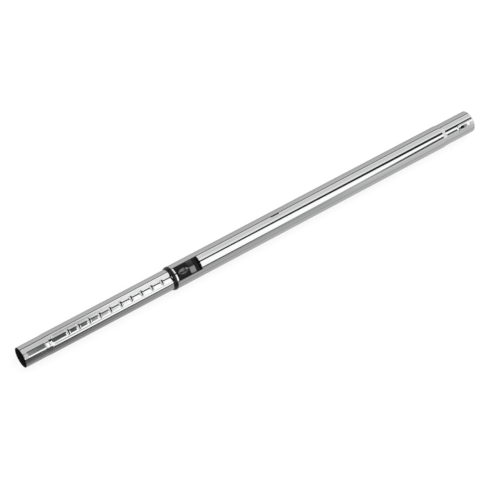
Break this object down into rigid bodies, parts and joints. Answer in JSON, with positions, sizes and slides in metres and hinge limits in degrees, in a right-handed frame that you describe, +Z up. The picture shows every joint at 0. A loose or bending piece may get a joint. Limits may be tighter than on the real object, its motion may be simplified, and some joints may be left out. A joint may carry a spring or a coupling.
{
  "type": "telescopic vacuum wand",
  "caption": "Chromed two-tube telescopic wand with a notched track, black collar and thumb slider lock, a socket at one end and a spigot at the other.",
  "frame": {"origin": "on the ground under the middle of the wand's length, at the modelled length", "axes": "+X along the tubes from the mouth to the upper socket, +Z up through the thumb slider, +Y to the left of the slider"},
  "size_m": [0.8504, 0.039, 0.0417],
  "materials": {
    "chrome": "bright chrome plate on drawn steel",
    "black_plastic": "moulded, half gloss",
    "grey_plastic": "moulded, low friction",
    "steel": "ground",
    "seal_rubber": "soft, matt"
  },
  "bodies": {
    "outer": {"outer_tube": "chrome", "guide_sleeve": "black_plastic", "return_spring_left": "steel", "return_spring_right": "steel"},
    "inner": {"inner_tube": "chrome", "rear_bush": "grey_plastic", "lip_seal": "seal_rubber"},
    "slider": {"release_slider": "black_plastic", "slider_plate": "grey_plastic"},
    "roller": {"lock_roller": "steel"}
  },
  "joints": [
    {"name": "telescope", "type": "slide", "parent": "outer", "child": "inner", "axis": [-1, 0, 0], "range_m": [-0.222, 0.148]},
    {"name": "release", "type": "slide", "parent": "outer", "child": "slider", "axis": [1, 0, 0], "range_m": [0, 0.0048], "stiffness_N_per_m": 300, "springref_m": 0.012, "deforming": ["return_spring_left", "return_spring_right"]},
    {"name": "roller_drop", "type": "slide", "parent": "outer", "child": "roller", "axis": [0, 0, -1], "range_m": [0, 0.0013]}
  ],
  "couplings": [
    {"joint": "roller_drop", "follows": "release", "ratio": 0.27083}
  ]
}
